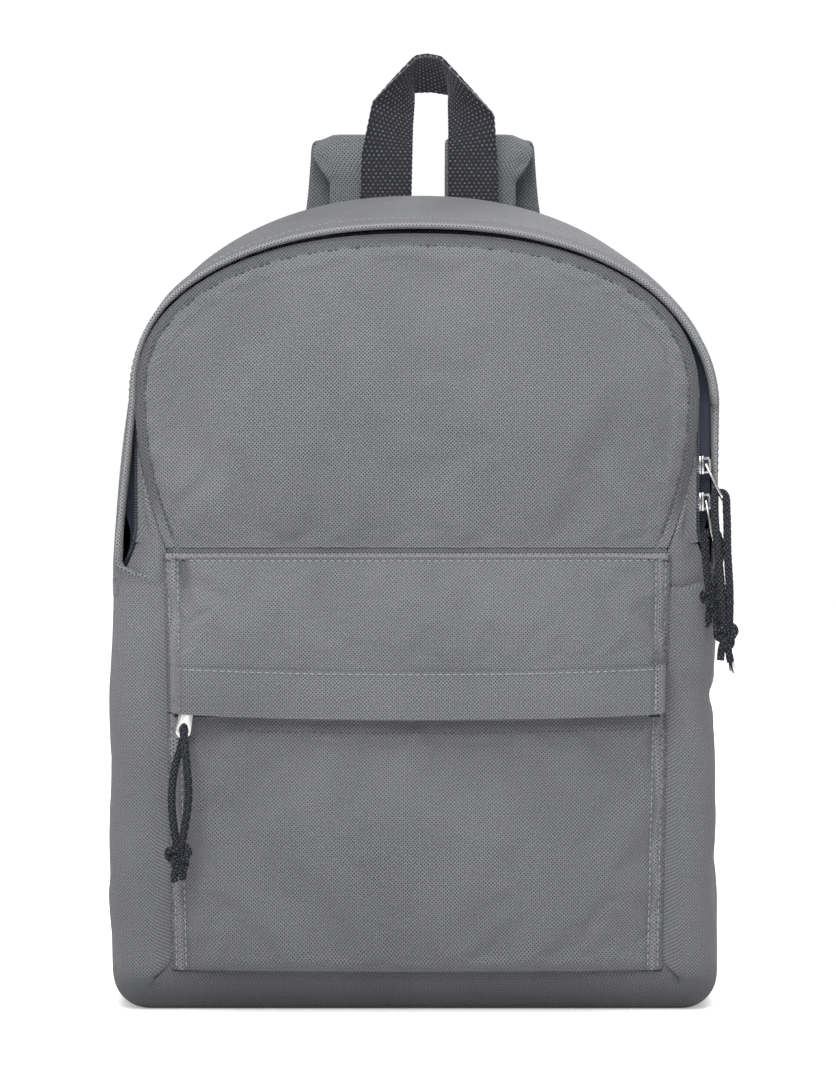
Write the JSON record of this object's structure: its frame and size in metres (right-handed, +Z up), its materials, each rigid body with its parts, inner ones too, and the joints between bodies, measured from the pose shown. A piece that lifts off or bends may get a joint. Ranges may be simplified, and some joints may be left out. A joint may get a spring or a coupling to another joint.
{
  "type": "daypack",
  "caption": "Small grey daypack with an arched zip-open front, a zipped front pocket, a webbing grab handle and padded shoulder straps.",
  "frame": {"origin": "middle of the flat base, on the surface the pack stands on", "axes": "+Z up, the front pocket faces -Y, the shoulder straps are at +Y, +X to the right seen from the front"},
  "size_m": [0.3063, 0.1819, 0.4807],
  "materials": {
    "shell_fabric": "woven polyester, matt mid grey",
    "lining": "plain woven lining",
    "foam": "closed-cell foam",
    "webbing": "heavy woven webbing, blue-black",
    "zip_tape": "woven zip tape",
    "zip_coil": "moulded coil",
    "nickel": "bright nickel plate",
    "cord": "braided cord",
    "buckle_plastic": "moulded acetal"
  },
  "bodies": {
    "pack": {"top_gusset": "shell_fabric", "side_panel_left": "shell_fabric", "side_panel_right": "shell_fabric", "base_panel": "shell_fabric", "front_panel_lower": "shell_fabric", "back_panel": "shell_fabric", "main_zip_flap": "shell_fabric", "pocket_panel_upper": "shell_fabric", "pocket_panel_lower": "shell_fabric", "pocket_zip_flap": "shell_fabric", "strap_yoke": "shell_fabric", "shoulder_strap_left": "shell_fabric", "shoulder_strap_right": "shell_fabric", "back_lining": "lining", "back_foam": "foam", "strap_webbing_left": "webbing", "strap_webbing_right": "webbing", "anchor_tab_left": "webbing", "anchor_tab_right": "webbing", "zip_end_tab_left": "webbing", "zip_end_tab_right": "webbing", "main_zip_tape_rear": "zip_tape", "pocket_zip_tape_upper": "zip_tape", "pocket_zip_tape_lower": "zip_tape", "main_zip_coil_rear": "zip_coil", "pocket_zip_coil_upper": "zip_coil", "pocket_zip_coil_lower": "zip_coil", "ladder_lock_left": "buckle_plastic", "ladder_lock_right": "buckle_plastic"},
    "lid": {"front_panel_upper": "shell_fabric", "main_zip_tape_front": "zip_tape", "main_zip_coil_front": "zip_coil"},
    "slider_upper": {"slider_upper": "nickel"},
    "pull_upper": {"pull_tab_upper": "nickel", "pull_cord_upper": "cord", "pull_knot_upper": "cord"},
    "slider_lower": {"slider_lower": "nickel"},
    "pull_lower": {"pull_tab_lower": "nickel", "pull_cord_lower": "cord", "pull_knot_lower": "cord"},
    "pocket_slider": {"pocket_slider": "nickel"},
    "pocket_pull": {"pocket_pull_tab": "nickel", "pocket_pull_cord": "cord", "pocket_pull_knot": "cord"},
    "handle": {"grab_handle": "webbing"},
    "tail_left": {"strap_tail_left": "webbing"},
    "tail_right": {"strap_tail_right": "webbing"}
  },
  "joints": [
    {"name": "lid_open", "type": "hinge", "parent": "pack", "child": "lid", "pos_m": [0, -0.06, 0.226], "axis": [1, 0, 0], "range_deg": [0, 85]},
    {"name": "slider_upper_travel", "type": "slide", "parent": "pack", "child": "slider_upper", "axis": [0, 0, 1], "range_m": [0, 0.028]},
    {"name": "slider_lower_travel", "type": "slide", "parent": "pack", "child": "slider_lower", "axis": [0, 0, 1], "range_m": [-0.006, 0.006]},
    {"name": "pull_upper_swing", "type": "hinge", "parent": "slider_upper", "child": "pull_upper", "pos_m": [0.1417, -0.05, 0.267], "axis": [0, -1, 0], "range_deg": [0, 80]},
    {"name": "pull_lower_swing", "type": "hinge", "parent": "slider_lower", "child": "pull_lower", "pos_m": [0.1417, -0.05, 0.249], "axis": [0, -1, 0], "range_deg": [0, 8]},
    {"name": "pocket_slider_travel", "type": "slide", "parent": "pack", "child": "pocket_slider", "axis": [1, 0, 0], "range_m": [0, 0.218]},
    {"name": "pocket_pull_swing", "type": "hinge", "parent": "pocket_slider", "child": "pocket_pull", "pos_m": [-0.1109, -0.0756, 0.152], "axis": [0, -1, 0], "range_deg": [-5, 40]},
    {"name": "handle_swing", "type": "hinge", "parent": "pack", "child": "handle", "pos_m": [0.005, 0.052, 0.4085], "axis": [1, 0, 0], "range_deg": [-8, 80]},
    {"name": "tail_left_swing", "type": "hinge", "parent": "pack", "child": "tail_left", "pos_m": [-0.079, 0.087, 0.1276], "axis": [1, 0, 0], "range_deg": [0, 60]},
    {"name": "tail_right_swing", "type": "hinge", "parent": "pack", "child": "tail_right", "pos_m": [0.085, 0.087, 0.1276], "axis": [1, 0, 0], "range_deg": [0, 60]}
  ]
}
